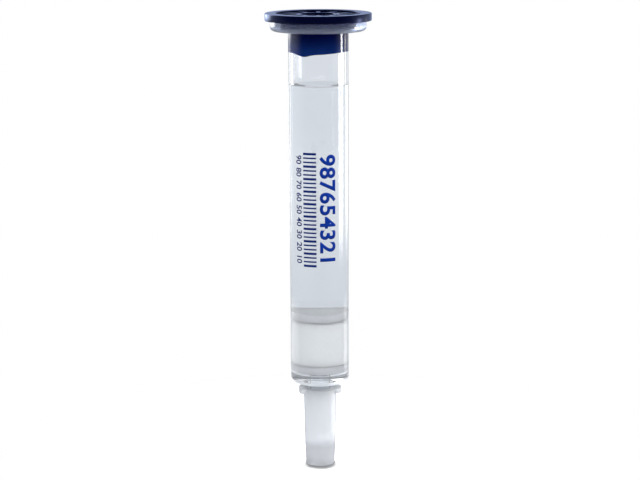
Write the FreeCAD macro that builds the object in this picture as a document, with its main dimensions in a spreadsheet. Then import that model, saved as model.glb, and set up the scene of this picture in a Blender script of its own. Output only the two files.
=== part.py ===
import FreeCAD, Part
import math
import os
import re
import Sketcher
from FreeCAD import Vector

# Immunoaffinity column: a clear syringe-type barrel that holds a short bed of affinity gel between
# two porous discs, under storage buffer. A stopper closes its flanged mouth, and a cap its luer tip.
# The column stands on the tip cap: z = 0 is that cap's flat end, and Z is the barrel's axis.

# The driving sizes, in millimetres, degrees where the note says so, and one count
SIZES = {
    # Stopper
    "brim_diameter": 19.0,  # flat brim that lies on the barrel's flange
    "brim_thickness": 1.35,  # brim, from its underside to its top face
    "brim_edge_chamfer": 0.2,  # brim's upper and lower edges
    "recess_diameter": 15.1,  # shallow recess in the brim's top face
    "recess_depth": 0.65,  # recess, below the brim's top face
    "ring_diameter": 8.0,  # raised ring round the mouth of the well
    "ring_drop": 0.2,  # top of the ring and ribs, below the brim's top face
    "rib_count": 12,  # short ribs between the ring and the recess wall
    "rib_width": 0.7,  # one rib, across
    "well_diameter": 6.2,  # well that makes the plug hollow
    "plug_floor": 1.3,  # closed end of the plug, below the well
    "plug_length": 5.7,  # plug, from the brim's underside to its end
    "plug_lead_length": 0.15,  # tapered end that guides the plug in
    "plug_lead_inset": 0.1,  # how far the tapered end draws in, on the radius
    "plug_end_chamfer": 0.1,  # plug's end edge
    "nub_radius": 1.5,  # rounded nub that the gate left on the plug's end
    "nub_reach": 0.35,  # nub, beyond the plug's end
    "nub_angle": -123.0,  # nub, about the axis, in degrees
    # Barrel
    "bore_diameter": 9.0,  # inside of the barrel
    "bore_depth": 63.75,  # from the flange's top face to the seat of the lower disc
    "mouth_chamfer": 0.3,  # chamfer at the mouth of the bore
    "wall_at_flange": 0.9,  # wall under the flange
    "straight_length": 12.0,  # wall without draft under the flange, which sits in a rack's hole
    "wall_at_foot": 0.8,  # wall at the shoulder, thinner by the draft
    "flange_diameter": 17.2,  # round flange at the mouth
    "flange_thickness": 1.8,  # flange
    "flange_edge_radius": 0.8,  # rounding of the flange's lower edge
    "flange_top_chamfer": 0.12,  # flange's upper edge
    "flange_root_chamfer": 0.25,  # corner between the flange and the wall
    "seat_floor": 2.25,  # from the disc's seat to the outside of the shoulder
    "shoulder_chamfer": 0.7,  # edge between the wall and the shoulder
    "neck_root_chamfer": 0.3,  # corner between the shoulder and the luer tip
    "ledge_width": 0.6,  # ring that carries the lower disc
    "funnel_depth": 0.8,  # cone from the ledge down to the outlet
    "luer_tip_diameter": 3.97,  # small end of the luer taper
    "luer_taper": 0.06,  # luer taper, on the diameter
    "luer_length": 9.65,  # from the shoulder to the end of the luer tip
    "luer_end_chamfer": 0.15,  # luer tip's end edge
    "outlet_diameter": 2.4,  # hole through the luer tip
    # What is packed in the barrel
    "disc_thickness": 1.4,  # porous disc
    "disc_edge_chamfer": 0.1,  # edge of a punched disc
    "gel_height": 8.2,  # bed of affinity gel
    "air_gap": 6.15,  # air between the buffer and the plug's end
    "meniscus_rise": 0.6,  # how far the buffer climbs the wall
    "meniscus_width": 1.3,  # ring in which it climbs
    "bore_clearance": 0.02,  # plug, discs, gel and buffer to the bore, on the radius
    # Tip cap
    "socket_floor": 3.9,  # solid end of the cap, below its socket
    "tip_gap": 2.2,  # air between the socket's floor and the luer tip
    "neck_gap": 1.25,  # neck left bare between the cap's rim and the shoulder
    "taper_clearance": 0.015,  # luer tip to its socket, on the radius
    "rim_diameter": 6.05,  # cap below its collar
    "collar_step": 0.12,  # low collar at the rim, on the radius
    "collar_thickness": 0.5,  # collar, down from the rim
    "waist_diameter": 5.95,  # cap where its end begins to draw in
    "waist_height": 6.4,  # from the cap's end to there
    "end_diameter": 5.45,  # cap at its flat end
    "end_edge_chamfer": 0.15,  # edge of the flat end
    "lug_span": 7.8,  # across the two lugs
    "lug_width": 3.4,  # one lug, along its side
    "lug_thickness": 0.9,  # lugs, down from the rim
    "lug_corner_radius": 0.9,  # rounding of the lugs' corners
    "lug_turn": 4.0,  # lugs, about the axis, in degrees
}

# Radii and heights that several pieces share, as formulas of the sizes
BORE = "bore_diameter / 2"
IN_BORE = "(bore_diameter / 2 - bore_clearance)"
OUTLET = "outlet_diameter / 2"
LEDGE = "(bore_diameter / 2 - ledge_width)"
LUER_TIP = "luer_tip_diameter / 2"
ENGAGED = "(luer_length - neck_gap)"

# Heights in the barrel's own frame, from the end of the luer tip
SEAT = "(luer_length + seat_floor)"
FUNNEL_END = "(luer_length + seat_floor - funnel_depth)"
MOUTH = "(luer_length + seat_floor + bore_depth)"
FLANGE_UNDERSIDE = "(luer_length + seat_floor + bore_depth - flange_thickness)"

# Heights of the pieces in the column, from the flat end of the tip cap
LUER_END_HEIGHT = "(socket_floor + tip_gap)"
SEAT_HEIGHT = f"({LUER_END_HEIGHT} + {SEAT})"
MOUTH_HEIGHT = f"({LUER_END_HEIGHT} + {MOUTH})"
GEL_FLOOR_HEIGHT = f"({SEAT_HEIGHT} + disc_thickness)"
UPPER_DISC_HEIGHT = f"({GEL_FLOOR_HEIGHT} + gel_height)"
BUFFER_FLOOR_HEIGHT = f"({UPPER_DISC_HEIGHT} + disc_thickness)"
BUFFER_DEPTH = "(bore_depth - 2 * disc_thickness - gel_height - plug_length - air_gap)"

doc = FreeCAD.newDocument("immunoaffinity_column")
sheet = doc.addObject("Spreadsheet::Sheet", "Sizes")


def fill_sheet():
    """One row of the sheet for each size: its name, and its value under that alias."""
    for row, (alias, number) in enumerate(SIZES.items(), 1):
        sheet.set(f"A{row}", alias)
        sheet.set(f"B{row}", str(number))
        sheet.setAlias(f"B{row}", alias)
    doc.recompute()


def bound(formula):
    """The formula with the sheet's name before each size in it."""
    return re.sub("[a-z_]+", lambda word: f"Sizes.{word[0]}" if word[0] in SIZES else word[0], formula)


def size(formula):
    """The present value of a formula, in millimetres or degrees."""
    return float(sheet.evalExpression(bound(formula)))


def new_body(label, height):
    """A piece in its own frame, lifted along the axis to its place in the column."""
    body = doc.addObject("PartDesign::Body", label)
    body.Label = label
    body.setExpression("Placement.Base.z", bound(height))
    return body


def new_sketch(body, label, plane):
    """An empty sketch on one of the piece's own origin planes."""
    sketch = body.newObject("Sketcher::SketchObject", label)
    base = next(item for item in body.Origin.OriginFeatures if item.Role == plane)
    sketch.AttachmentSupport = [(base, "")]
    sketch.MapMode = "FlatFace"
    return sketch


def tie(sketch, direction, side, formula):
    """Hold the first end of a side at its distance from the origin."""
    if formula == "0":
        axis = -2 if direction == "DistanceX" else -1
        sketch.addConstraint(Sketcher.Constraint("PointOnObject", side, 1, axis))
        return
    distance = Sketcher.Constraint(direction, -1, 1, side, 1, size(formula))
    index = sketch.addConstraint(distance)
    sketch.setExpression(f"Constraints[{index}]", bound(formula))


def draw(sketch, corners, curved=None):
    """A closed outline. Each corner is two formulas, and the side after corner curved is an arc
    that leaves it in line with the side before."""
    points = [Vector(size(across), size(along), 0) for across, along in corners]
    count = len(points)
    for side in range(count):
        start, end = points[side], points[(side + 1) % count]
        if side == curved:
            middle = Vector((start.x + end.x) / 2, start.y + (end.y - start.y) / 4, 0)
            sketch.addGeometry(Part.Arc(start, middle, end), False)
        else:
            sketch.addGeometry(Part.LineSegment(start, end), False)
    for side in range(count):
        following = (side + 1) % count
        kind = "Tangent" if following == curved else "Coincident"
        sketch.addConstraint(Sketcher.Constraint(kind, side, 2, following, 1))
    for side, (across, along) in enumerate(corners):
        tie(sketch, "DistanceX", side, across)
        if curved is None or side != curved:
            tie(sketch, "DistanceY", side, along)
    doc.recompute()


def turn(body, kind, label, corners, curved=None):
    """A solid or a groove, turned about the axis from its half section."""
    sketch = new_sketch(body, f"{label}_section", "XZ_Plane")
    draw(sketch, corners, curved)
    feature = body.newObject(f"PartDesign::{kind}", label)
    feature.Profile = sketch
    feature.ReferenceAxis = (sketch, ["V_Axis"])
    feature.Angle = 360
    doc.recompute()
    return feature


def same(one, other):
    """True for two lengths that differ by rounding alone."""
    return math.isclose(one, other, abs_tol=0.005)


def rims(radius, height):
    """Picks the circular edges that have this radius at this height."""
    def picked(edge):
        if not isinstance(edge.Curve, Part.Circle):
            return False
        return same(edge.Curve.Radius, size(radius)) and same(edge.Curve.Center.z, size(height))
    return picked


def uprights(radius):
    """Picks the straight upright edges that stand at this distance from the axis."""
    def picked(edge):
        if not isinstance(edge.Curve, Part.Line):
            return False
        low, high = [vertex.Point for vertex in edge.Vertexes]
        upright = same(low.x, high.x) and same(low.y, high.y)
        return upright and same(math.hypot(low.x, low.y), size(radius))
    return picked


def finish_edges(body, kind, label, picked, amount):
    """A fillet or a chamfer on the picked edges of what the body is so far."""
    base = body.Tip
    edges = [f"Edge{number}" for number, edge in enumerate(base.Shape.Edges, 1) if picked(edge)]
    if not edges:
        raise ValueError(f"{body.Label} has no edge for {label}")
    feature = body.newObject(f"PartDesign::{kind}", label)
    feature.Base = (base, edges)
    feature.setExpression("Radius" if kind == "Fillet" else "Size", bound(amount))
    doc.recompute()


def make_stopper():
    """Soft navy stopper: a brim that lies on the flange, and a hollow plug that seals the bore."""
    body = new_body("top_cap", MOUTH_HEIGHT)
    plug_end = "(bore_diameter / 2 - bore_clearance - plug_lead_inset)"
    brim = "brim_diameter / 2"
    recess_floor = "(brim_thickness - recess_depth)"
    ring_top = "(brim_thickness - ring_drop)"
    turn(body, "Revolution", "brim_and_plug", [
        ("0", "-plug_length"),
        (plug_end, "-plug_length"),
        (IN_BORE, "plug_lead_length - plug_length"),
        (IN_BORE, "0"),
        (brim, "0"),
        (brim, "brim_thickness"),
        ("recess_diameter / 2", "brim_thickness"),
        ("recess_diameter / 2", recess_floor),
        ("ring_diameter / 2", recess_floor),
        ("ring_diameter / 2", ring_top),
        ("0", ring_top),
    ])
    finish_edges(body, "Chamfer", "brim_lower_edge", rims(brim, "0"), "brim_edge_chamfer")
    finish_edges(body, "Chamfer", "brim_upper_edge", rims(brim, "brim_thickness"), "brim_edge_chamfer")
    finish_edges(body, "Chamfer", "plug_end_edge", rims(plug_end, "-plug_length"), "plug_end_chamfer")

    # The ribs run from inside the ring to inside the recess wall, and end level with the ring's top
    rib_start = "(well_diameter + ring_diameter) / 4"
    rib_end = "(recess_diameter + brim_diameter) / 4"
    sketch = new_sketch(body, "rib_plan", "XY_Plane")
    sketch.setExpression("AttachmentOffset.Base.z", bound(recess_floor))
    draw(sketch, [
        (rib_start, "-rib_width / 2"),
        (rib_end, "-rib_width / 2"),
        (rib_end, "rib_width / 2"),
        (rib_start, "rib_width / 2"),
    ])
    rib = body.newObject("PartDesign::Pad", "rib")
    rib.Profile = sketch
    rib.setExpression("Length", bound("recess_depth - ring_drop"))
    doc.recompute()
    ribs = body.newObject("PartDesign::PolarPattern", "ribs")
    ribs.Originals = [rib]
    ribs.Axis = (sketch, ["N_Axis"])
    ribs.Angle = 360
    ribs.setExpression("Occurrences", bound("rib_count"))
    body.Tip = ribs
    doc.recompute()

    nub = body.newObject("PartDesign::AdditiveSphere", "gate_nub")
    nub.setExpression("Radius", bound("nub_radius"))
    nub_distance = f"({plug_end} - nub_radius)"
    nub.setExpression("Placement.Base.x", bound(f"{nub_distance} * cos(nub_angle)"))
    nub.setExpression("Placement.Base.y", bound(f"{nub_distance} * sin(nub_angle)"))
    nub.setExpression("Placement.Base.z", bound("nub_radius - nub_reach - plug_length"))
    doc.recompute()

    well_floor = "(plug_floor - plug_length)"
    turn(body, "Groove", "well", [
        ("0", well_floor),
        ("well_diameter / 2", well_floor),
        ("well_diameter / 2", ring_top),
        ("0", ring_top),
    ])
    return body


def make_barrel():
    """Clear barrel, one moulding: flanged mouth, long bore, shoulder with a funnel, luer tip."""
    body = new_body("barrel", LUER_END_HEIGHT)
    foot = f"({BORE} + wall_at_foot)"
    neck = f"({BORE} + wall_at_flange)"
    luer_root = "(luer_tip_diameter + luer_length * luer_taper) / 2"
    turn(body, "Revolution", "moulding", [
        (OUTLET, "0"),
        (LUER_TIP, "0"),
        (luer_root, "luer_length"),
        (foot, "luer_length"),
        (neck, f"{FLANGE_UNDERSIDE} - straight_length"),
        (neck, FLANGE_UNDERSIDE),
        ("flange_diameter / 2", FLANGE_UNDERSIDE),
        ("flange_diameter / 2", MOUTH),
        (BORE, MOUTH),
        (BORE, SEAT),
        (LEDGE, SEAT),
        (OUTLET, FUNNEL_END),
    ])
    edge = "flange_diameter / 2"
    finish_edges(body, "Fillet", "flange_lower_edge", rims(edge, FLANGE_UNDERSIDE), "flange_edge_radius")
    finish_edges(body, "Chamfer", "flange_upper_edge", rims(edge, MOUTH), "flange_top_chamfer")
    finish_edges(body, "Chamfer", "flange_root", rims(neck, FLANGE_UNDERSIDE), "flange_root_chamfer")
    finish_edges(body, "Chamfer", "shoulder", rims(foot, "luer_length"), "shoulder_chamfer")
    finish_edges(body, "Chamfer", "neck_root", rims(luer_root, "luer_length"), "neck_root_chamfer")
    finish_edges(body, "Chamfer", "luer_end", rims(LUER_TIP, "0"), "luer_end_chamfer")
    finish_edges(body, "Chamfer", "mouth", rims(BORE, MOUTH), "mouth_chamfer")
    return body


def make_disc(label, height):
    """Porous disc, punched from sheet, that keeps the gel in place and lets liquid through."""
    body = new_body(label, height)
    turn(body, "Revolution", "disc", [
        ("0", "0"),
        (f"{IN_BORE} - disc_edge_chamfer", "0"),
        (IN_BORE, "disc_edge_chamfer"),
        (IN_BORE, "disc_thickness - disc_edge_chamfer"),
        (f"{IN_BORE} - disc_edge_chamfer", "disc_thickness"),
        ("0", "disc_thickness"),
    ])
    return body


def make_gel_bed():
    """Wet bed of gel beads that carry the antibodies, settled between the two discs."""
    body = new_body("gel_bed", GEL_FLOOR_HEIGHT)
    turn(body, "Revolution", "bed", [
        ("0", "0"),
        (IN_BORE, "0"),
        (IN_BORE, "gel_height"),
        ("0", "gel_height"),
    ])
    return body


def make_storage_buffer():
    """Liquid above the upper disc, flat in the middle, that climbs the wall in a meniscus."""
    body = new_body("storage_buffer", BUFFER_FLOOR_HEIGHT)
    turn(body, "Revolution", "liquid", [
        ("0", BUFFER_DEPTH),
        (f"{IN_BORE} - meniscus_width", BUFFER_DEPTH),
        (IN_BORE, f"{BUFFER_DEPTH} + meniscus_rise"),
        (IN_BORE, "0"),
        ("0", "0"),
    ], curved=1)
    return body


def make_outlet_buffer():
    """Liquid that stands in the funnel and in the hole through the luer tip."""
    body = new_body("outlet_buffer", LUER_END_HEIGHT)
    turn(body, "Revolution", "liquid_thread", [
        ("0", "0"),
        (f"{OUTLET} - bore_clearance", "0"),
        (f"{OUTLET} - bore_clearance", FUNNEL_END),
        (f"{LEDGE} - bore_clearance", SEAT),
        ("0", SEAT),
    ])
    return body


def make_tip_cap():
    """Translucent cap with a luer socket, two lugs at its rim and a solid end it stands on."""
    body = new_body("tip_cap", "0")
    body.setExpression("Placement.Rotation.Angle", bound("lug_turn"))
    length = f"(socket_floor + tip_gap + {ENGAGED})"
    collar = "(rim_diameter / 2 + collar_step)"
    turn(body, "Revolution", "hub", [
        ("0", "0"),
        ("end_diameter / 2", "0"),
        ("waist_diameter / 2", "waist_height"),
        ("rim_diameter / 2", f"{length} - collar_thickness"),
        (collar, f"{length} - collar_thickness"),
        (collar, length),
        ("0", length),
    ])
    finish_edges(body, "Chamfer", "end_edge", rims("end_diameter / 2", "0"), "end_edge_chamfer")

    # Both lugs are one bar across the hub, with round ends; the socket then clears its middle
    corner = "sqrt(lug_span * lug_span - lug_width * lug_width) / 2"
    plan = new_sketch(body, "lug_plan", "XY_Plane")
    plan.setExpression("AttachmentOffset.Base.z", bound(f"{length} - lug_thickness"))
    half_span, half_width, reach = size("lug_span / 2"), size("lug_width / 2"), size(corner)
    for way in (1, -1):
        low, high = Vector(way * reach, -way * half_width, 0), Vector(way * reach, way * half_width, 0)
        plan.addGeometry(Part.Arc(low, Vector(way * half_span, 0, 0), high), False)
        plan.addGeometry(Part.LineSegment(high, Vector(-high.x, high.y, 0)), False)
    for side in range(4):
        plan.addConstraint(Sketcher.Constraint("Coincident", side, 2, (side + 1) % 4, 1))
    for arc in (0, 2):
        plan.addConstraint(Sketcher.Constraint("Coincident", arc, 3, -1, 1))
    plan.addConstraint(Sketcher.Constraint("Horizontal", 1))
    plan.addConstraint(Sketcher.Constraint("Horizontal", 3))
    radius = plan.addConstraint(Sketcher.Constraint("Radius", 0, half_span))
    plan.setExpression(f"Constraints[{radius}]", bound("lug_span / 2"))
    tie(plan, "DistanceY", 1, "lug_width / 2")
    tie(plan, "DistanceY", 3, "-lug_width / 2")
    lugs = body.newObject("PartDesign::Pad", "lugs")
    lugs.Profile = plan
    lugs.setExpression("Length", bound("lug_thickness"))
    doc.recompute()
    finish_edges(body, "Fillet", "lug_corners", uprights("lug_span / 2"), "lug_corner_radius")

    turn(body, "Groove", "socket", [
        ("0", "socket_floor"),
        ("(luer_tip_diameter - tip_gap * luer_taper) / 2 + taper_clearance", "socket_floor"),
        (f"(luer_tip_diameter + {ENGAGED} * luer_taper) / 2 + taper_clearance", length),
        ("0", length),
    ])
    return body


def check_pieces(bodies):
    """Stop before anything is written if a feature failed or a piece is not one valid solid."""
    failed = [item.Name for item in doc.Objects if {"Invalid", "Error"} & set(item.State)]
    if failed:
        raise RuntimeError(f"failed: {', '.join(failed)}")
    for body in bodies:
        shape = body.Shape
        if shape.isNull() or not shape.isValid() or len(shape.Solids) != 1:
            raise RuntimeError(f"{body.Label} is not one valid solid")


fill_sheet()
pieces = [
    make_stopper(),
    make_barrel(),
    make_disc("upper_frit", UPPER_DISC_HEIGHT),
    make_gel_bed(),
    make_disc("lower_frit", SEAT_HEIGHT),
    make_storage_buffer(),
    make_outlet_buffer(),
    make_tip_cap(),
]
doc.recompute()
check_pieces(pieces)

os.makedirs("parts", exist_ok=True)
for piece in pieces:
    piece.Shape.exportStep(f"parts/{piece.Label}.step")
    bounds = piece.Shape.BoundBox
    print(f"{piece.Label}: {piece.Shape.Volume:.2f} mm3, z {bounds.ZMin:.2f} to {bounds.ZMax:.2f}")
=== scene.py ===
import math

import bmesh
import bpy
from mathutils import Matrix, Vector


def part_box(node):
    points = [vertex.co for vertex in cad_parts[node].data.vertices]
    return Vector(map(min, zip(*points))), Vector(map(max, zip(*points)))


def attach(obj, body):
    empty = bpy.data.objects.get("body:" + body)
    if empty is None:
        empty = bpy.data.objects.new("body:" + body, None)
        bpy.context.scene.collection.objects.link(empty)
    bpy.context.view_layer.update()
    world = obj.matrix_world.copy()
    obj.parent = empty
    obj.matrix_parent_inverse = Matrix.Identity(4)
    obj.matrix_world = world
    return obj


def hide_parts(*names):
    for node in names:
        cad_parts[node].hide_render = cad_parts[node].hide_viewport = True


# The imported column, which every piece below is fitted to.
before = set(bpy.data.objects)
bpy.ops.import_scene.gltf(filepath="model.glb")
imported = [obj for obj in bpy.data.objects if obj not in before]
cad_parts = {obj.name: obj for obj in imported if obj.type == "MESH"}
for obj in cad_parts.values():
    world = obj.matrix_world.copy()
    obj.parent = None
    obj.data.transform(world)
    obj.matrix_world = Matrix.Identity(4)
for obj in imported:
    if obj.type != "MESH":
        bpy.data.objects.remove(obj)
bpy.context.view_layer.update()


# Camera: a long lens a little above the column that looks down on it, turned until the column leans
# as it does in the photo.
MM = 0.001
CAMERA_DISTANCE = 317.5 * MM
CAMERA_HEIGHT = 106.1 * MM
CAMERA_DOWN = 11.4
CAMERA_ROLL = -0.28
CAMERA_ASIDE = 0.13 * MM
SENSOR_WIDTH = 36.0
LENS = 100.4
camera_data = bpy.data.cameras.new("Camera")
camera_data.sensor_width = SENSOR_WIDTH
camera_data.lens = LENS
camera = bpy.data.objects.new("Camera", camera_data)
camera.matrix_world = (
    Matrix.Translation((CAMERA_ASIDE, -CAMERA_DISTANCE, CAMERA_HEIGHT))
    @ Matrix.Rotation(math.radians(90.0 - CAMERA_DOWN), 4, "X")
    @ Matrix.Rotation(math.radians(CAMERA_ROLL), 4, "Z")
)
bpy.context.scene.collection.objects.link(camera)
bpy.context.scene.camera = camera
bpy.context.scene.view_settings.view_transform = "Standard"


# Studio: a pale table and an even pale backdrop. The room round the camera looks dark in mirrored rays
# and lights the column as a grey cloth would. Two strip lamps stand on the right, two on the left
# behind the column, and a wide lamp hangs high in front.
BACKDROP = (0.83, 0.85, 0.885, 1.0)
TABLE_NEAR = (0.72, 0.74, 0.775, 1.0)
DARK_ROOM = (0.004, 0.004, 0.006, 1.0)
PALE_ROOM = (0.49, 0.51, 0.55, 1.0)
FRONT_CLOTH = (0.46, 0.475, 0.50, 1.0)
WHITE = (1.0, 1.0, 1.0, 1.0)
BACKDROP_ENDS = (-0.52, -0.28)
MIRRORED_BACKDROP_ENDS = (-0.5, 0.25)
CEILING_STARTS = (0.15, 0.4)


def colour_mix(nodes, links, factor, low, high):
    """Two colours mixed by a factor. A colour may be a value or another node's output."""
    mixed = nodes.new("ShaderNodeMix")
    mixed.data_type = "RGBA"
    links.new(factor, mixed.inputs["Factor"])
    for socket, colour in (("A", low), ("B", high)):
        if isinstance(colour, tuple):
            mixed.inputs[socket].default_value = colour
        else:
            links.new(colour, mixed.inputs[socket])
    return mixed.outputs["Result"]


def calculated(nodes, links, operation, *values):
    """The result of one sum. Each value is a number or another node's output."""
    step = nodes.new("ShaderNodeMath")
    step.operation = operation
    for socket, value in zip(step.inputs, values):
        if isinstance(value, float):
            socket.default_value = value
        else:
            links.new(value, socket)
    return step.outputs["Value"]


def smooth_step(nodes, links, value, start, end, low=0.0, high=1.0):
    """A value that goes smoothly from low to high while the given value goes from start to end."""
    step = nodes.new("ShaderNodeMapRange")
    step.interpolation_type = "SMOOTHSTEP"
    step.inputs["From Min"].default_value = start
    step.inputs["From Max"].default_value = end
    step.inputs["To Min"].default_value = low
    step.inputs["To Max"].default_value = high
    links.new(value, step.inputs["Value"])
    return step.outputs["Result"]


world = bpy.data.worlds.new("studio")
bpy.context.scene.world = world
world.use_nodes = True
nodes = world.node_tree.nodes
links = world.node_tree.links
nodes.clear()
direction = nodes.new("ShaderNodeTexCoord")
parts = nodes.new("ShaderNodeSeparateXYZ")
links.new(direction.outputs["Generated"], parts.inputs["Vector"])
behind = smooth_step(nodes, links, parts.outputs["Y"], *BACKDROP_ENDS)
ray = nodes.new("ShaderNodeLightPath")
lighting = colour_mix(nodes, links, behind, FRONT_CLOTH, BACKDROP)
seen_through = colour_mix(nodes, links, behind, PALE_ROOM, BACKDROP)
far_behind = smooth_step(nodes, links, parts.outputs["Y"], *MIRRORED_BACKDROP_ENDS)
mirrored_wall = colour_mix(nodes, links, far_behind, DARK_ROOM, BACKDROP)
ceiling = smooth_step(nodes, links, parts.outputs["Z"], *CEILING_STARTS)
mirrored_room = colour_mix(nodes, links, ceiling, mirrored_wall, DARK_ROOM)
surround = colour_mix(nodes, links, ray.outputs["Is Glossy Ray"], lighting, mirrored_room)
surround = colour_mix(nodes, links, ray.outputs["Is Transmission Ray"], surround, seen_through)
seen = colour_mix(nodes, links, ray.outputs["Is Camera Ray"], surround, WHITE)
background = nodes.new("ShaderNodeBackground")
links.new(seen, background.inputs["Color"])
output = nodes.new("ShaderNodeOutputWorld")
links.new(background.outputs["Background"], output.inputs["Surface"])

TABLE_RADIUS = 400 * MM
TABLE_BELOW = 0.02 * MM
TABLE_LIT = (0.7, 0.71, 0.73, 1.0)
TABLE_FADES = (80 * MM, 380 * MM)
TABLE_FRONT = (-90 * MM, -260 * MM)
CONTACT_REACH = 4.2 * MM
CONTACT_SAMPLES = 24
CONTACT_OPENNESS = (0.54, 0.98)
DARKEST_SHADE = 0.17
PALEST_TABLE = 1.9
TOWARDS_BACKDROP = (0.85, 0.53)
WHITE_FROM = (20 * MM, 60 * MM)


def new_material(name):
    """A material, with its nodes and its links."""
    material = bpy.data.materials.new(name)
    material.use_nodes = True
    return material, material.node_tree.nodes, material.node_tree.links


table_shape = bmesh.new()
bmesh.ops.create_circle(table_shape, cap_ends=True, radius=TABLE_RADIUS, segments=96)
bmesh.ops.translate(table_shape, vec=(0, 0, -TABLE_BELOW), verts=table_shape.verts)
table_mesh = bpy.data.meshes.new("table")
table_shape.to_mesh(table_mesh)
table_shape.free()
table = bpy.data.objects.new("table", table_mesh)
bpy.context.scene.collection.objects.link(table)

table_top, nodes, links = new_material("table_top")
nodes.clear()
place = nodes.new("ShaderNodeTexCoord")
from_middle = nodes.new("ShaderNodeVectorMath")
from_middle.operation = "LENGTH"
links.new(place.outputs["Object"], from_middle.inputs[0])
away = from_middle.outputs["Value"]
ray = nodes.new("ShaderNodeLightPath")
lit = nodes.new("ShaderNodeBsdfDiffuse")
lit.inputs["Color"].default_value = TABLE_LIT
glow = nodes.new("ShaderNodeEmission")
shade = smooth_step(nodes, links, away, *TABLE_FADES)
pale_table = colour_mix(nodes, links, shade, TABLE_NEAR, BACKDROP)
along = nodes.new("ShaderNodeSeparateXYZ")
links.new(place.outputs["Object"], along.inputs["Vector"])
in_front = smooth_step(nodes, links, along.outputs["Y"], *TABLE_FRONT)
mirrored_table = colour_mix(nodes, links, in_front, pale_table, DARK_ROOM)

# Painted pools of light, where the lamps would light the table, each as turn, width, near edge, far edge
# and radiance. Only mirrored rays see them.
for turn, width, near_edge, far_edge, radiance in (
    (-106, 24, (16, 20), (60, 46), 4.0),
    (-120, 15, (62, 72), (150, 115), 2.6),
    (115, 34, (62, 75), (145, 120), 1.9),
):
    turned_to_lamp = nodes.new("ShaderNodeMapping")
    turned_to_lamp.inputs["Rotation"].default_value = (0, 0, math.radians(turn + 90))
    links.new(place.outputs["Object"], turned_to_lamp.inputs["Vector"])
    lamp_line = nodes.new("ShaderNodeSeparateXYZ")
    links.new(turned_to_lamp.outputs["Vector"], lamp_line.inputs["Vector"])
    off_line = calculated(nodes, links, "ARCTAN2", lamp_line.outputs["Y"], lamp_line.outputs["X"])
    across_pool = calculated(nodes, links, "ABSOLUTE", off_line)
    wide = math.radians(width)
    painted_pool = smooth_step(nodes, links, across_pool, wide, wide / 2)
    for start, end in (near_edge, far_edge):
        edge = smooth_step(nodes, links, away, start * MM, end * MM)
        painted_pool = calculated(nodes, links, "MULTIPLY", painted_pool, edge)
    painted_pool_colour = (radiance, radiance, radiance, 1.0)
    mirrored_table = colour_mix(nodes, links, painted_pool, mirrored_table, painted_pool_colour)
table_glow = colour_mix(nodes, links, ray.outputs["Is Transmission Ray"], mirrored_table, pale_table)
links.new(table_glow, glow.inputs["Color"])

# Painted shadow where the cap stands: the table's colour darkens by how far the column hides the backdrop
# from it
near = nodes.new("ShaderNodeAmbientOcclusion")
near.samples = CONTACT_SAMPLES
near.inputs["Distance"].default_value = CONTACT_REACH
to_backdrop = nodes.new("ShaderNodeCombineXYZ")
for axis, share in zip("YZ", TOWARDS_BACKDROP):
    to_backdrop.inputs[axis].default_value = share
links.new(to_backdrop.outputs["Vector"], near.inputs["Normal"])
painted_shade = smooth_step(nodes, links, near.outputs["AO"], *CONTACT_OPENNESS, DARKEST_SHADE, PALEST_TABLE)
washed_out = nodes.new("ShaderNodeBsdfDiffuse")
links.new(painted_shade, washed_out.inputs["Color"])
bright = nodes.new("ShaderNodeEmission")
bright.inputs["Color"].default_value = WHITE
mirrored = calculated(
    nodes, links, "MAXIMUM", ray.outputs["Is Glossy Ray"], ray.outputs["Is Transmission Ray"],
)


def shader_mix(nodes, links, factor, low, high):
    """Two shaders mixed by a factor."""
    mixed = nodes.new("ShaderNodeMixShader")
    links.new(factor, mixed.inputs["Fac"])
    links.new(low, mixed.inputs[1])
    links.new(high, mixed.inputs[2])
    return mixed.outputs["Shader"]


far = smooth_step(nodes, links, away, *WHITE_FROM)
to_camera = shader_mix(nodes, links, far, washed_out.outputs["BSDF"], bright.outputs["Emission"])
to_others = shader_mix(nodes, links, mirrored, lit.outputs["BSDF"], glow.outputs["Emission"])
table_surface = shader_mix(nodes, links, ray.outputs["Is Camera Ray"], to_others, to_camera)
output = nodes.new("ShaderNodeOutputMaterial")
links.new(table_surface, output.inputs["Surface"])
table_mesh.materials.append(table_top)


def place_parts(nodes, links):
    """The X, Y and Z of the place on a piece."""
    place = nodes.new("ShaderNodeTexCoord")
    parts = nodes.new("ShaderNodeSeparateXYZ")
    links.new(place.outputs["Object"], parts.inputs["Vector"])
    return parts.outputs


LAMP_DISTANCE = 170 * MM
TOP_EDGE = 2


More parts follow.
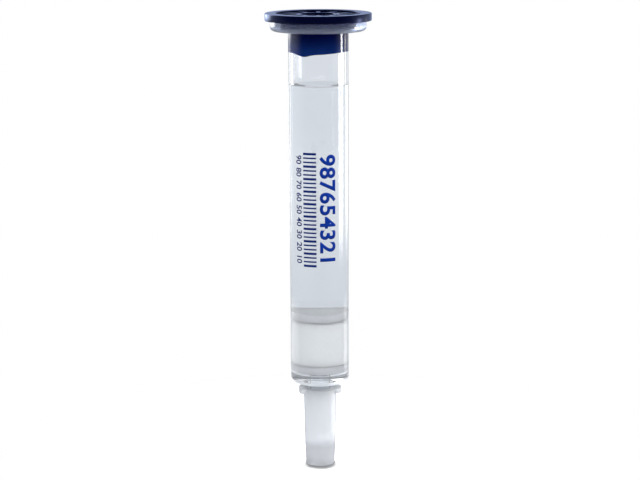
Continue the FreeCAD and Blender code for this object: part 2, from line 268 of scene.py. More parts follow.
def strip_lamp(name, turn, foot, fade, top, height, width, radiance, colour):
    """An upright strip lamp, at this turn round the column from the camera, in degrees and positive to the
    left, with its foot this high. Its cloth is dim along its edges and at its foot, and above its top it
    isn't mirrored. Sizes in millimetres."""
    material, nodes, links = new_material(name)
    material.cycles.emission_sampling = "FRONT"
    nodes.clear()
    place = place_parts(nodes, links)
    aside = calculated(nodes, links, "ABSOLUTE", place["X"])
    cloth = smooth_step(nodes, links, aside, width / 2 * MM, width / 4 * MM)
    low_end = smooth_step(nodes, links, place["Y"], 0.0, fade * MM)
    high_end = smooth_step(nodes, links, place["Y"], (top + TOP_EDGE) * MM, (top - TOP_EDGE) * MM)
    ray = nodes.new("ShaderNodeLightPath")
    not_mirrored = calculated(nodes, links, "SUBTRACT", 1.0, ray.outputs["Is Glossy Ray"])
    below_top = calculated(nodes, links, "MAXIMUM", high_end, not_mirrored)
    side = nodes.new("ShaderNodeNewGeometry")
    density = calculated(nodes, links, "SUBTRACT", 1.0, side.outputs["Backfacing"])
    for factor in (cloth, low_end, below_top):
        density = calculated(nodes, links, "MULTIPLY", factor, density)
    emission = nodes.new("ShaderNodeEmission")
    emission.inputs["Color"].default_value = (*colour, 1.0)
    emission.inputs["Strength"].default_value = radiance
    clear = nodes.new("ShaderNodeBsdfTransparent")
    output = nodes.new("ShaderNodeOutputMaterial")
    lamp = shader_mix(nodes, links, density, clear.outputs["BSDF"], emission.outputs["Emission"])
    links.new(lamp, output.inputs["Surface"])
    corners = [(-width / 2, 0), (width / 2, 0), (width / 2, height), (-width / 2, height)]
    mesh = bpy.data.meshes.new(name)
    mesh.from_pydata([(across * MM, along * MM, 0) for across, along in corners], [], [(0, 1, 2, 3)])
    mesh.materials.append(material)
    stand = bpy.data.objects.new(name, mesh)
    angle = math.radians(turn)
    inward = Vector((math.sin(angle), math.cos(angle), 0.0))
    turned_in = inward.to_track_quat("Z", "Y").to_matrix().to_4x4()
    stand.matrix_world = Matrix.Translation(Vector((0, 0, foot * MM)) - inward * LAMP_DISTANCE) @ turned_in
    stand.visible_camera = False
    bpy.context.scene.collection.objects.link(stand)


for name, turn, foot, fade, top, height, width, radiance, colour in (
    ("right_strip", -98, 0, 22, 67, 200, 40, 16.0, (1.0, 1.0, 1.0)),
    ("warm_strip", -122, 0, 22, 67, 180, 24, 4.5, (1.0, 0.96, 0.90)),
    ("left_strip", 137, 0, 22, 180, 180, 34, 2.8, (0.96, 0.98, 1.0)),
    ("left_high_strip", 139, 62, 8, 140, 140, 120, 9.0, (0.94, 0.96, 1.0)),
):
    strip_lamp(name, turn, foot, fade, top, height, width, radiance, colour)

HIGH_LAMP_SIZE = (500 * MM, 400 * MM)
HIGH_LAMP_PLACE = (0.0, -380 * MM, 550 * MM)
HIGH_LAMP_AIM = (0.0, 0.0, 50 * MM)
HIGH_LAMP_POWER = 6.0
high_light = bpy.data.lights.new("high_lamp", "AREA")
high_light.shape = "RECTANGLE"
high_light.size, high_light.size_y = HIGH_LAMP_SIZE
high_light.energy = HIGH_LAMP_POWER
high_lamp = bpy.data.objects.new("high_lamp", high_light)
high_lamp.location = HIGH_LAMP_PLACE
aim = Vector(HIGH_LAMP_AIM) - high_lamp.location
high_lamp.rotation_euler = aim.to_track_quat("-Z", "Y").to_euler()
high_lamp.visible_camera = False
high_lamp.visible_glossy = False
bpy.context.scene.collection.objects.link(high_lamp)


# Barrel: one clear polypropylene moulding with a round flange, a long bore and a luer tip. It is turned
# from its half section, and each rim is rounded as the mould rounds it.
def span(node):
    """The lowest and the highest point of a CAD node, in millimetres."""
    low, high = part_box(node)
    return low[2] / MM, high[2] / MM


SAME_PLACE = 0.0005 * MM


def turned(half_section, steps=144):
    """A shape turned about the column's axis from the corners of its half section, in millimetres."""
    shape = bmesh.new()
    corners = [shape.verts.new((across * MM, 0.0, along * MM)) for across, along in half_section]
    sides = [shape.edges.new(pair) for pair in zip(corners, corners[1:])]
    if half_section[0][0] > 0 or half_section[-1][0] > 0:
        sides.append(shape.edges.new((corners[-1], corners[0])))
    bmesh.ops.spin(
        shape, geom=corners + sides, cent=(0, 0, 0), axis=(0, 0, 1), dvec=(0, 0, 0),
        angle=math.tau, steps=steps, use_merge=True,
    )
    bmesh.ops.remove_doubles(shape, verts=shape.verts, dist=SAME_PLACE)
    bmesh.ops.recalc_face_normals(shape, faces=shape.faces)
    return shape


def from_axis(point):
    """How far a point lies from the column's axis, in millimetres."""
    return math.hypot(point.x, point.y) / MM


ON_RIM = 0.004


def round_rim(shape, radius, height, amount, segments):
    """Rounds the rim that lies at this radius and height, in millimetres."""
    def on_rim(vertex):
        here = vertex.co
        return abs(from_axis(here) - radius) < ON_RIM and abs(here.z / MM - height) < ON_RIM
    rim = [edge for edge in shape.edges if all(on_rim(vertex) for vertex in edge.verts)]
    bmesh.ops.bevel(
        shape, geom=rim, offset=amount * MM, offset_type="OFFSET", segments=segments,
        profile=0.5, affect="EDGES", material=-1, clamp_overlap=True,
    )


SHARP = math.radians(35)


def finished(name, shape, slot, node, *materials):
    """Makes the shape a smooth piece of the column, which stands for this CAD node."""
    mesh = bpy.data.meshes.new(name)
    shape.to_mesh(mesh)
    shape.free()
    mesh.shade_smooth()
    mesh.set_sharp_from_angle(angle=SHARP)
    for material in materials:
        mesh.materials.append(material)
    piece = bpy.data.objects.new(name, mesh)
    bpy.context.scene.collection.objects.link(piece)
    even = piece.modifiers.new("even_normals", "WEIGHTED_NORMAL")
    even.keep_sharp = True
    even.weight = 100
    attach(piece, "root")
    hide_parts(node)


def moulded_skin():
    """Node group: the faint waves and dull patches that a polished mould leaves on plastic."""
    group = bpy.data.node_groups.new("moulded_skin", "ShaderNodeTree")
    face = group.interface
    starts = (("Wave Size", 400.0), ("Wave Depth", 0.02), ("Gloss", 0.1), ("Dull Patches", 0.05))
    for socket, start in starts:
        face.new_socket(socket, in_out="INPUT", socket_type="NodeSocketFloat").default_value = start
    face.new_socket("Roughness", in_out="OUTPUT", socket_type="NodeSocketFloat")
    face.new_socket("Patches", in_out="OUTPUT", socket_type="NodeSocketFloat")
    face.new_socket("Normal", in_out="OUTPUT", socket_type="NodeSocketVector")
    nodes = group.nodes
    links = group.links
    given = nodes.new("NodeGroupInput")
    result = nodes.new("NodeGroupOutput")
    place = nodes.new("ShaderNodeTexCoord")
    drawn = nodes.new("ShaderNodeMapping")
    drawn.inputs["Scale"].default_value = (1.0, 1.0, 0.12)
    links.new(place.outputs["Object"], drawn.inputs["Vector"])
    waves = nodes.new("ShaderNodeTexNoise")
    waves.inputs["Detail"].default_value = 1.0
    links.new(drawn.outputs["Vector"], waves.inputs["Vector"])
    links.new(given.outputs["Wave Size"], waves.inputs["Scale"])
    bump = nodes.new("ShaderNodeBump")
    bump.inputs["Distance"].default_value = 0.1 * MM
    links.new(given.outputs["Wave Depth"], bump.inputs["Strength"])
    links.new(waves.outputs["Fac"], bump.inputs["Height"])
    links.new(bump.outputs["Normal"], result.inputs["Normal"])
    patches = nodes.new("ShaderNodeTexNoise")
    patches.inputs["Scale"].default_value = 260.0
    patches.inputs["Detail"].default_value = 4.0
    links.new(place.outputs["Object"], patches.inputs["Vector"])
    links.new(patches.outputs["Fac"], result.inputs["Patches"])
    dull = calculated(
        nodes, links, "MULTIPLY_ADD",
        patches.outputs["Fac"], given.outputs["Dull Patches"], given.outputs["Gloss"],
    )
    links.new(dull, result.inputs["Roughness"])
    return group


MOULDED_SKIN = moulded_skin()


def plastic(name, pale, deep, wave_size, wave_depth, gloss, dull_patches):
    """A moulded plastic between two near colours, with its skin. Returns the material and its shader."""
    material, nodes, links = new_material(name)
    shader = nodes["Principled BSDF"]
    skin = nodes.new("ShaderNodeGroup")
    skin.node_tree = MOULDED_SKIN
    skin.inputs["Wave Size"].default_value = wave_size
    skin.inputs["Wave Depth"].default_value = wave_depth
    skin.inputs["Gloss"].default_value = gloss
    skin.inputs["Dull Patches"].default_value = dull_patches
    blend = colour_mix(nodes, links, skin.outputs["Patches"], (*deep, 1.0), (*pale, 1.0))
    links.new(blend, shader.inputs["Base Color"])
    links.new(skin.outputs["Roughness"], shader.inputs["Roughness"])
    links.new(skin.outputs["Normal"], shader.inputs["Normal"])
    return material, shader


def lets_through(shader, share, refraction):
    """This share of the light goes through the material, bent as by this index."""
    shader.inputs["Transmission Weight"].default_value = share
    shader.inputs["IOR"].default_value = refraction


def spreads_light(shader, share, depth):
    """This share of the rest wanders about in the material, this deep, in millimetres."""
    shader.inputs["Subsurface Weight"].default_value = share
    shader.inputs["Subsurface Radius"].default_value = (1.0, 1.0, 1.0)
    shader.inputs["Subsurface Scale"].default_value = depth * MM


def tinted_by_height(material, start, end, colour):
    """Changes the colour smoothly to this one from the first height to the second, in millimetres."""
    nodes = material.node_tree.nodes
    links = material.node_tree.links
    socket = nodes["Principled BSDF"].inputs["Base Color"]
    own_colour = socket.links[0].from_socket
    share = smooth_step(nodes, links, place_parts(nodes, links)["Z"], start * MM, end * MM)
    links.new(colour_mix(nodes, links, share, own_colour, (*colour, 1.0)), socket)


BORE = 4.5
WALL_AT_FLANGE = 5.4
WALL_AT_FOOT = 5.3
STRAIGHT_LENGTH = 12.0
FLANGE = 8.6
FLANGE_THICKNESS = 1.8
LUER_LENGTH = 9.65
LUER_TAPER = 0.06
LUER_TIP = 3.97 / 2
LUER_ROOT = LUER_TIP + LUER_LENGTH * LUER_TAPER / 2
OUTLET = 1.2
LEDGE = BORE - 0.6
FUNNEL_DEPTH = 0.8
SHOULDER_ROUND = 1.0
FROSTED_TO = 0.9
POLYPROPYLENE_REFRACTION = 1.49
DULL_EDGE = 0.45
DULL_FROM = 0.6
DULL_TO = 1.0
luer_end, mouth = span("barrel")
underside = mouth - FLANGE_THICKNESS
shoulder = luer_end + LUER_LENGTH
seat = span("lower_frit")[0]

barrel = turned([
    (OUTLET, luer_end),
    (LUER_TIP, luer_end),
    (LUER_ROOT, shoulder),
    (WALL_AT_FOOT, shoulder),
    (WALL_AT_FLANGE, underside - STRAIGHT_LENGTH),
    (WALL_AT_FLANGE, underside),
    (FLANGE, underside),
    (FLANGE, mouth),
    (BORE, mouth),
    (BORE, seat),
    (LEDGE, seat),
    (OUTLET, seat - FUNNEL_DEPTH),
])
for radius, height, amount, segments in (
    (FLANGE, underside, 0.8, 7),
    (FLANGE, mouth, 0.15, 3),
    (WALL_AT_FLANGE, underside, 0.25, 4),
    (WALL_AT_FOOT, shoulder, SHOULDER_ROUND, 9),
    (LUER_ROOT, shoulder, 0.35, 4),
    (LUER_TIP, luer_end, 0.15, 3),
    (BORE, mouth, 0.3, 3),
):
    round_rim(barrel, radius, height, amount, segments)
clear_polypropylene, shader = plastic(
    "clear_polypropylene", pale=(0.96, 0.97, 0.98), deep=(0.92, 0.94, 0.96),
    wave_size=500.0, wave_depth=0.03, gloss=0.02, dull_patches=0.04,
)
lets_through(shader, 1.0, POLYPROPYLENE_REFRACTION)

# Painted reflection: the flange's blue tint stands in for the navy brim mirrored in it and seen through
# it.
frosted_flange, shader = plastic(
    "frosted_flange", pale=(0.67, 0.77, 1.0), deep=(0.59, 0.68, 0.96),
    wave_size=900.0, wave_depth=0.2, gloss=0.1, dull_patches=0.1,
)
lets_through(shader, 0.9, POLYPROPYLENE_REFRACTION)
nodes = frosted_flange.node_tree.nodes
links = frosted_flange.node_tree.links
height = place_parts(nodes, links)["Z"]
dull_edge = smooth_step(
    nodes, links, height, (underside + DULL_TO) * MM, (underside + DULL_FROM) * MM, high=DULL_EDGE,
)
socket = shader.inputs["Roughness"]
rougher = calculated(nodes, links, "MAXIMUM", socket.links[0].from_socket, dull_edge)
links.new(rougher, socket)

frosted_foot, shader = plastic(
    "frosted_foot", pale=(0.94, 0.95, 0.97), deep=(0.90, 0.91, 0.94),
    wave_size=900.0, wave_depth=0.2, gloss=0.32, dull_patches=0.15,
)
lets_through(shader, 0.7, POLYPROPYLENE_REFRACTION)
spreads_light(shader, 1.0, depth=1.6)
# Painted shade: the rounded shoulder darkens towards its underside.
tinted_by_height(frosted_foot, shoulder + FROSTED_TO, shoulder + 0.2, colour=(0.74, 0.77, 0.82))

for face in barrel.faces:
    middle = face.calc_center_median()
    away = from_axis(middle)
    height = middle.z / MM
    if away > WALL_AT_FLANGE + 0.3 and height > underside - 0.01:
        face.material_index = 1
    elif away > WALL_AT_FOOT - SHOULDER_ROUND and shoulder + 0.02 < height < shoulder + FROSTED_TO:
        face.material_index = 2
finished(
    "clear_barrel", barrel, "clear_polypropylene", "barrel",
    clear_polypropylene, frosted_flange, frosted_foot,
)


# Discs: two frits punched from white porous polyethylene sheet and pressed into the bore, so wet that
# they touch the wall all round.
PRESSED_IN = 0.03
FRIT_EDGE = 0.03
SUNK_BELOW = 0.01
GRAINS_EACH_METRE = 6500.0
GRAIN_COLOUR = (0.74, 0.75, 0.77, 1.0)
PORE_COLOUR = (0.64, 0.65, 0.67, 1.0)
# Painted light: the flat faces of the discs are paler than their sides.
PAINTED_LIT_FACE_COLOUR = (0.97, 0.98, 0.99, 1.0)
LIES_FLAT = (0.4, 0.8)


def porous_polyethylene():
    """White sintered grains with darker pores between them, and painted light on the flat faces."""
    material, nodes, links = new_material("porous_polyethylene")
    shader = nodes["Principled BSDF"]
    place = nodes.new("ShaderNodeTexCoord")
    grains = nodes.new("ShaderNodeTexVoronoi")
    grains.inputs["Scale"].default_value = GRAINS_EACH_METRE
    links.new(place.outputs["Object"], grains.inputs["Vector"])
    grainy = colour_mix(nodes, links, grains.outputs["Distance"], GRAIN_COLOUR, PORE_COLOUR)
    facing = nodes.new("ShaderNodeNewGeometry")
    parts = nodes.new("ShaderNodeSeparateXYZ")
    links.new(facing.outputs["Normal"], parts.inputs["Vector"])
    up_or_down = calculated(nodes, links, "ABSOLUTE", parts.outputs["Z"])
    painted_lit_faces = smooth_step(nodes, links, up_or_down, *LIES_FLAT)
    all_over = colour_mix(nodes, links, painted_lit_faces, grainy, PAINTED_LIT_FACE_COLOUR)
    links.new(all_over, shader.inputs["Base Color"])
    bump = nodes.new("ShaderNodeBump")
    bump.inputs["Strength"].default_value = 0.4
    bump.inputs["Distance"].default_value = 0.03 * MM
    bump.invert = True
    links.new(grains.outputs["Distance"], bump.inputs["Height"])
    links.new(bump.outputs["Normal"], shader.inputs["Normal"])
    shader.inputs["Roughness"].default_value = 0.9
    spreads_light(shader, 0.9, depth=1.3)
    return material


white_porous = porous_polyethylene()
packed_radius = BORE + PRESSED_IN
for name, node in (("lower_disc", "lower_frit"), ("upper_disc", "upper_frit")):
    bottom, top = span(node)
    bottom -= SUNK_BELOW
    disc = turned([(0, bottom), (packed_radius, bottom), (packed_radius, top), (0, top)])
    for height in (bottom, top):
        round_rim(disc, packed_radius, height, FRIT_EDGE, segments=3)
    finished(name, disc, "porous_polyethylene", node, white_porous)


# Gel: a settled bed of wet agarose beads, which lets light through and spreads it. It is poured in as
# a slurry and held between the two discs, and it touches the wall all round.
def mottled(name, deep, pale, scale, detail, roughness):
    """A material whose colour wanders between two near ones. Returns the material and its shader."""
    material, nodes, links = new_material(name)
    shader = nodes["Principled BSDF"]
    place = nodes.new("ShaderNodeTexCoord")
    patches = nodes.new("ShaderNodeTexNoise")
    patches.inputs["Scale"].default_value = scale
    patches.inputs["Detail"].default_value = detail
    links.new(place.outputs["Object"], patches.inputs["Vector"])
    blend = colour_mix(nodes, links, patches.outputs["Fac"], (*deep, 1.0), (*pale, 1.0))
    links.new(blend, shader.inputs["Base Color"])
    shader.inputs["Roughness"].default_value = roughness
    return material, shader


gel_bottom, gel_top = span("gel_bed")
gel = turned([(0, gel_bottom), (packed_radius, gel_bottom), (packed_radius, gel_top), (0, gel_top)])
affinity_gel, shader = mottled(
    "affinity_gel", deep=(0.84, 0.86, 0.87), pale=(0.91, 0.92, 0.92),
    scale=2600.0, detail=3.0, roughness=0.6,
)
spreads_light(shader, 1.0, depth=1.6)
finished("bed_of_gel", gel, "affinity_gel", "gel_bed", affinity_gel)


# Buffer: clear salt water over the upper disc, which climbs the wall in a meniscus, and a thread of it
# in the funnel and in the hole of the luer tip. Both wet the wall, so they reach just into it. The
# thread bends light almost as the wall does, because the photo doesn't show its outline.
def buffer_liquid(name, refraction):
    """Water clear as glass, with the faint streaks of salt that has not quite mixed."""
    material, shader = mottled(
        name, deep=(0.97, 0.98, 0.985), pale=(0.985, 0.99, 0.995), scale=150.0, detail=2.0, roughness=0.0,
    )
    lets_through(shader, 1.0, refraction)
    return material


WETTED = 0.02
MENISCUS_RISE = 0.35
MENISCUS_WIDTH = 1.6
MENISCUS_BEND = 2.6
MENISCUS_STEPS = 10
WATER_REFRACTION = 1.333
THREAD_REFRACTION = 1.47
buffer_bottom, buffer_top = span("storage_buffer")
level = buffer_top - MENISCUS_RISE
shares = [step / MENISCUS_STEPS for step in range(1, MENISCUS_STEPS + 1)]
meniscus = [
    (BORE - MENISCUS_WIDTH * share, level + MENISCUS_RISE * (1 - share) ** MENISCUS_BEND)
    for share in shares
]
column_of_buffer = turned([
    (0, buffer_bottom - WETTED),
    (BORE + WETTED, buffer_bottom - WETTED),
    (BORE + WETTED, buffer_top),
    *meniscus,
    (0, level),
])
clear_buffer = buffer_liquid("buffer_liquid", WATER_REFRACTION)
finished("column_of_buffer", column_of_buffer, "buffer_liquid", "storage_buffer", clear_buffer)

thread_of_buffer = turned([
    (0, luer_end),
    (OUTLET + WETTED, luer_end),
    (OUTLET + WETTED, seat - FUNNEL_DEPTH),
    (LEDGE + WETTED, seat),
    (0, seat),
])
thread_liquid = buffer_liquid("thread_liquid", THREAD_REFRACTION)
finished("thread_of_buffer", thread_of_buffer, "buffer_liquid", "outlet_buffer", thread_liquid)


# Stopper: a soft navy polyethylene moulding that is pushed in by hand. Its brim lies on the flange, and
# ribs in the recess of its top face stiffen it round the hollow plug. Its skin tints what it mirrors.
BRIM = 9.5
BRIM_THICKNESS = 1.35
RECESS = 7.55
RECESS_DEPTH = 0.65
RING = 4.0
RING_DROP = 0.2
WELL = 3.1
PLUG_FLOOR = 1.3
PLUG_LENGTH = 5.7
LEAD_LENGTH = 0.15
LEAD_INSET = 0.1
RIB_COUNT = 12
RIB_WIDTH = 0.7
RIB_SUNK = 0.3
GATE_NUB = (-0.4, -34, 17)
SHRUNK_BACK = (0.2, 55, 35)
brim_top = span("top_cap")[1]
brim_under = brim_top - BRIM_THICKNESS
plug_end = brim_under - PLUG_LENGTH
recess_floor = brim_top - RECESS_DEPTH
ring_top = brim_top - RING_DROP
tight = BORE + 0.01

stopper = turned([
    (0, plug_end),
    (BORE - LEAD_INSET, plug_end),
    (tight, plug_end + LEAD_LENGTH),
    (tight, brim_under),
    (BRIM, brim_under),
    (BRIM, brim_top),
    (RECESS, brim_top),
    (RECESS, recess_floor),
    (RING, recess_floor),
    (RING, ring_top),
    (WELL, ring_top),
    (WELL, plug_end + PLUG_FLOOR),
    (0, plug_end + PLUG_FLOOR),
])
for radius, height, amount, segments in (
    (BRIM, brim_under, 0.12, 4),
    (BRIM, brim_top, 0.15, 5),
    (RECESS, brim_top, 0.12, 3),
    (RING, ring_top, 0.12, 3),
    (WELL, ring_top, 0.2, 3),
    (BORE - LEAD_INSET, plug_end, 0.08, 3),
):
    round_rim(stopper, radius, height, amount, segments)
rib_length = RECESS - RING + 2 * RIB_SUNK
rib_size = Matrix.Diagonal((rib_length * MM, RIB_WIDTH * MM, (RECESS_DEPTH - RING_DROP) * MM, 1.0))
rib_place = Matrix.Translation(((RING + RECESS) / 2 * MM, 0.0, (recess_floor + ring_top) / 2 * MM))
for count in range(RIB_COUNT):
    rib = bmesh.ops.create_cube(stopper, size=1.0)["verts"]
    turn = Matrix.Rotation(math.tau * count / RIB_COUNT, 4, "Z")
    bmesh.ops.transform(stopper, matrix=turn @ rib_place @ rib_size, verts=rib)
for vertex in stopper.verts:
    if vertex.co.z / MM < plug_end + LEAD_LENGTH + 0.01 and from_axis(vertex.co) > WELL:
        turn = math.degrees(math.atan2(vertex.co.x, -vertex.co.y))
        for rise, middle, spread in (GATE_NUB, SHRUNK_BACK):
            vertex.co.z += rise * math.exp(-((turn - middle) / spread) ** 2) * MM
for face in stopper.faces:
    middle = face.calc_center_median()
    on_plug = tight - LEAD_INSET < from_axis(middle) < tight + 0.01 and middle.z / MM < brim_under
    touches_wall = on_plug and abs(face.normal.z) < 0.6
    face.material_index = 1 if touches_wall else 0
navy_polyethylene, shader = plastic(
    "navy_polyethylene", pale=(0.0007, 0.0013, 0.010), deep=(0.0005, 0.001, 0.008),
    wave_size=350.0, wave_depth=0.12, gloss=0.19, dull_patches=0.06,
)
for socket, value in (
    ("IOR", 1.5),
    ("Specular IOR Level", 0.25),
    ("Specular Tint", (0.3, 0.4, 1.0, 1.0)),
    ("Coat Weight", 1.0),
    ("Coat IOR", 1.01),
    ("Coat Tint", (0.88, 0.92, 1.0, 1.0)),
    ("Sheen Weight", 0.04),
    ("Sheen Roughness", 0.4),
    ("Sheen Tint", (0.20, 0.28, 1.0, 1.0)),
):
    shader.inputs[socket].default_value = value

# Painted light: a lighter copy of the navy on the plug's faces against the wall, paler still at its end.
navy_painted_lit_on_wall, shader = plastic(
    "navy_painted_lit_on_wall", pale=(0.0008, 0.003, 0.09), deep=(0.0008, 0.002, 0.075),
    wave_size=350.0, wave_depth=0.05, gloss=0.3, dull_patches=0.1,
)
shader.inputs["Specular IOR Level"].default_value = 0.0
tinted_by_height(navy_painted_lit_on_wall, brim_under - 1.5, plug_end, colour=(0.008, 0.038, 0.22))
finished("stopper", stopper, "navy_polyethylene", "top_cap", navy_polyethylene, navy_painted_lit_on_wall)


# Tip cap: a translucent polyethylene moulding pushed on the luer tip, tight on its taper, with two lugs
# at its rim and a solid end that the column stands on.
SOCKET_FLOOR = 3.9
CAP_RIM = 6.05 / 2
CAP_WAIST = 5.95 / 2
CAP_WAIST_HEIGHT = 6.4
CAP_END = 5.35 / 2
COLLAR_STEP = 0.12
COLLAR_THICKNESS = 0.5
LUG_SPAN = 7.8
LUG_WIDTH = 3.4
LUG_THICKNESS = 0.9
LUG_CORNER = 1.0
LUG_ROUND = 0.25
LUG_TURN = math.radians(4)
END_ROUND = 0.1
GRIP = 0.01
TURNED_STEPS = 128
LUG_STEPS = 96
ON_CUT = 1e-7
cap_bottom, cap_rim = span("tip_cap")


def luer_radius(height):
    """The radius of the luer tip at this height, carried on down its taper below the tip."""
    return LUER_TIP + (height - luer_end) * LUER_TAPER / 2


hub = turned([
    (0, cap_bottom),
    (CAP_END, cap_bottom),
    (CAP_WAIST, CAP_WAIST_HEIGHT),
    (CAP_RIM, cap_rim - COLLAR_THICKNESS),
    (CAP_RIM + COLLAR_STEP, cap_rim - COLLAR_THICKNESS),
    (CAP_RIM + COLLAR_STEP, cap_rim),
    (0, cap_rim),
], steps=TURNED_STEPS)
round_rim(hub, CAP_END, cap_bottom, END_ROUND, segments=3)
round_rim(hub, CAP_RIM + COLLAR_STEP, cap_rim, END_ROUND, segments=3)

lugs = bmesh.new()
bmesh.ops.create_circle(lugs, cap_ends=True, radius=LUG_SPAN / 2 * MM, segments=LUG_STEPS)
for side in (1, -1):
    bmesh.ops.bisect_plane(
        lugs, geom=lugs.verts[:] + lugs.edges[:] + lugs.faces[:], dist=ON_CUT,
        plane_co=(0, side * LUG_WIDTH / 2 * MM, 0), plane_no=(0, side, 0), clear_outer=True,
    )
corners = [vertex for vertex in lugs.verts if abs(abs(vertex.co.y) - LUG_WIDTH / 2 * MM) < ON_CUT]
bmesh.ops.bevel(
    lugs, geom=corners, offset=LUG_CORNER * MM, offset_type="OFFSET", segments=5,
    profile=0.5, affect="VERTICES", material=-1, clamp_overlap=True,
)
grown = bmesh.ops.extrude_face_region(lugs, geom=lugs.faces[:], use_keep_orig=True)
raised = [item for item in grown["geom"] if isinstance(item, bmesh.types.BMVert)]
bmesh.ops.translate(lugs, vec=(0, 0, LUG_THICKNESS * MM), verts=raised)
bmesh.ops.recalc_face_normals(lugs, faces=lugs.faces)
edges = [edge for edge in lugs.edges if edge.calc_face_angle(0.0) > math.radians(60)]
bmesh.ops.bevel(
    lugs, geom=edges, offset=LUG_ROUND * MM, offset_type="OFFSET", segments=4,
    profile=0.5, affect="EDGES", material=-1, clamp_overlap=True,
)
place = Matrix.Translation((0, 0, (cap_rim - LUG_THICKNESS) * MM)) @ Matrix.Rotation(LUG_TURN, 4, "Z")
bmesh.ops.transform(lugs, matrix=place, verts=lugs.verts)

socket = turned([
    (0, SOCKET_FLOOR),
    (luer_radius(SOCKET_FLOOR) - GRIP, SOCKET_FLOOR),
    (luer_radius(cap_rim + 1) - GRIP, cap_rim + 1),
    (0, cap_rim + 1),
], steps=TURNED_STEPS)


def combined(first, *others):
    """The first shape joined with or cut by the others, each given as (operation, shape)."""
    tools = []
    for shape in (first, *(shape for _, shape in others)):
        mesh = bpy.data.meshes.new("tool")
        shape.to_mesh(mesh)
        shape.free()
        tools.append(bpy.data.objects.new("tool", mesh))
        bpy.context.scene.collection.objects.link(tools[-1])
    for (operation, _), tool in zip(others, tools[1:]):
        step = tools[0].modifiers.new(operation, "BOOLEAN")
        step.operation = operation
        step.solver = "MANIFOLD"
        step.object = tool
    result = bmesh.new()
    result.from_object(tools[0], bpy.context.evaluated_depsgraph_get())
    for tool in tools:
        mesh = tool.data
        bpy.data.objects.remove(tool)
        bpy.data.meshes.remove(mesh)
    bmesh.ops.remove_doubles(result, verts=result.verts, dist=SAME_PLACE)
    bmesh.ops.recalc_face_normals(result, faces=result.faces)
    return result


cap = combined(hub, ("UNION", lugs), ("DIFFERENCE", socket))
cloudy_polyethylene, shader = plastic(
    "translucent_polyethylene", pale=(0.90, 0.92, 0.95), deep=(0.85, 0.875, 0.92),
    wave_size=450.0, wave_depth=0.06, gloss=0.1, dull_patches=0.08,
)
lets_through(shader, 0.6, refraction=1.5)
spreads_light(shader, 1.0, depth=1.2)
# Painted shade: the solid end below the socket floor is darker.
tinted_by_height(cloudy_polyethylene, SOCKET_FLOOR + 1.2, SOCKET_FLOOR - 0.4, colour=(0.60, 0.61, 0.63))

dull_painted_shade_end, _ = plastic(
    "dull_painted_shade_end", pale=(0.66, 0.67, 0.68), deep=(0.60, 0.61, 0.62),
    wave_size=450.0, wave_depth=0.06, gloss=0.5, dull_patches=0.1,
)
# Painted shade: the face the cap stands on gets a duller copy in darker grey.
for face in cap.faces:
    face.material_index = 1 if face.calc_center_median().z / MM < cap_bottom + 0.01 else 0
finished(
    "push_on_cap", cap, "translucent_polyethylene", "tip_cap", cloudy_polyethylene, dull_painted_shade_end,
)


# Print: a plain numbered scale in deep blue ink, screen printed on the front of the barrel. Its numerals
# are turned to be read from above, with ticks between the large ones and the small ones.
DIVISIONS = 9
DIVISION = 2.25
TICKS_EACH = 3
PRINT_TOP = 58.6
INK_THICKNESS = 0.02
INK_IN_WALL = INK_THICKNESS / 4
LARGE_NUMERAL = 2.75
LARGE_BASELINE = 0.25
SMALL_NUMERAL = 1.15
SMALL_BASELINE = -4.5
TICK_FROM = -2.95
TICK_TO = -0.5
TICK_WIDTH = 0.28
WIDE_TICK = 1.5
CAP_HEIGHT_OF_FONT = 0.695
WRAP_STEP = 0.25
WRAP_STEPS = 40
WRAP_FROM = -5.0
SAME_POINT = 0.001
ON_LINE = 1e-5


def wall_radius(height):
    """The radius of the barrel's wall at this height, in millimetres."""
    taper_top = underside - STRAIGHT_LENGTH
    share = min((height - shoulder) / (taper_top - shoulder), 1.0)
    return WALL_AT_FOOT + (WALL_AT_FLANGE - WALL_AT_FOOT) * share


def numeral(ink, figures, cap_height, baseline, middle, weight, stretch):
    """Adds figures to the flat print, turned to be read from above, with their middle at this height."""
    text = bpy.data.curves.new("numeral", "FONT")
    text.body = figures
    text.align_x = "CENTER"
    text.size = cap_height / CAP_HEIGHT_OF_FONT
    text.offset = weight
    text.resolution_u = 4
    written = bpy.data.objects.new("numeral", text)
    bpy.context.scene.collection.objects.link(written)
    flat = bpy.data.meshes.new_from_object(written.evaluated_get(bpy.context.evaluated_depsgraph_get()))
    bpy.data.objects.remove(written)
    before = len(ink.verts)
    ink.from_mesh(flat)
    bpy.data.meshes.remove(flat)
    ink.verts.ensure_lookup_table()
    widened = Matrix.Diagonal((stretch, 1.0, 1.0, 1.0))
    turned_down = Matrix.Rotation(math.radians(-90), 4, "Z")
    place = Matrix.Translation((baseline, middle, 0)) @ turned_down @ widened
    bmesh.ops.transform(ink, matrix=place, verts=ink.verts[before:])


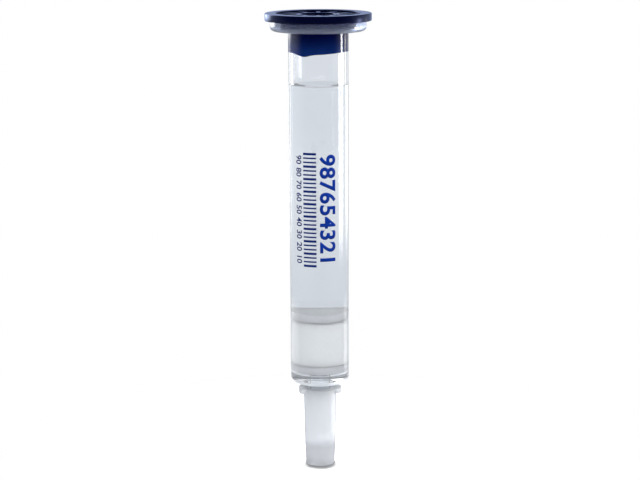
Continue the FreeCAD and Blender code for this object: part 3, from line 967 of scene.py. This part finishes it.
def on_wall(ink, name, material):
    """Wraps a flat print, drawn in millimetres round and up the wall, on the barrel as a thin layer."""
    bmesh.ops.remove_doubles(ink, verts=ink.verts, dist=SAME_POINT)
    for step in range(WRAP_STEPS):
        bmesh.ops.bisect_plane(
            ink, geom=ink.verts[:] + ink.edges[:] + ink.faces[:], dist=ON_LINE,
            plane_co=(WRAP_FROM + WRAP_STEP * step, 0, 0), plane_no=(1, 0, 0),
        )
    grown = bmesh.ops.extrude_face_region(ink, geom=ink.faces[:], use_keep_orig=True)
    raised = [item for item in grown["geom"] if isinstance(item, bmesh.types.BMVert)]
    bmesh.ops.translate(ink, vec=(0, 0, INK_THICKNESS), verts=raised)
    for vertex in ink.verts:
        radius = wall_radius(vertex.co.y) + vertex.co.z - INK_IN_WALL
        angle = vertex.co.x / WALL_AT_FLANGE
        vertex.co = Vector((radius * math.sin(angle), -radius * math.cos(angle), vertex.co.y)) * MM
    bmesh.ops.recalc_face_normals(ink, faces=ink.faces)
    mesh = bpy.data.meshes.new(name)
    ink.to_mesh(mesh)
    ink.free()
    mesh.materials.append(material)
    piece = bpy.data.objects.new(name, mesh)
    bpy.context.scene.collection.objects.link(piece)
    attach(piece, "root")


def screen_ink(name, deep, pale):
    """Ink that the screen laid down a little unevenly, so that its colour is mottled."""
    material, shader = mottled(name, deep, pale, scale=1500.0, detail=3.0, roughness=0.45)
    shader.inputs["Specular IOR Level"].default_value = 0.05
    return material


large_print = bmesh.new()
small_print = bmesh.new()
for division in range(DIVISIONS):
    height = PRINT_TOP - DIVISION * (division + 0.5)
    number = DIVISIONS - division
    numeral(large_print, str(number), LARGE_NUMERAL, LARGE_BASELINE, height, weight=0.11, stretch=1.06)
    numeral(small_print, str(number * 10), SMALL_NUMERAL, SMALL_BASELINE, height, weight=0.03, stretch=1.0)
for tick in range(DIVISIONS * TICKS_EACH + 1):
    height = PRINT_TOP - DIVISION * tick / TICKS_EACH
    width = TICK_WIDTH * (WIDE_TICK if tick % TICKS_EACH == 0 else 1.0)
    bar = bmesh.ops.create_grid(small_print, x_segments=1, y_segments=1, size=0.5)["verts"]
    size = Matrix.Diagonal((TICK_TO - TICK_FROM, width, 1.0, 1.0))
    place = Matrix.Translation(((TICK_FROM + TICK_TO) / 2, height, 0))
    bmesh.ops.transform(small_print, matrix=place @ size, verts=bar)
large_ink = screen_ink("blue_ink", deep=(0.001, 0.011, 0.11), pale=(0.001, 0.024, 0.21))
small_ink = screen_ink("dark_blue_ink", deep=(0.003, 0.010, 0.07), pale=(0.004, 0.014, 0.10))
on_wall(large_print, "large_numerals", large_ink)
on_wall(small_print, "ticks_and_small_numerals", small_ink)
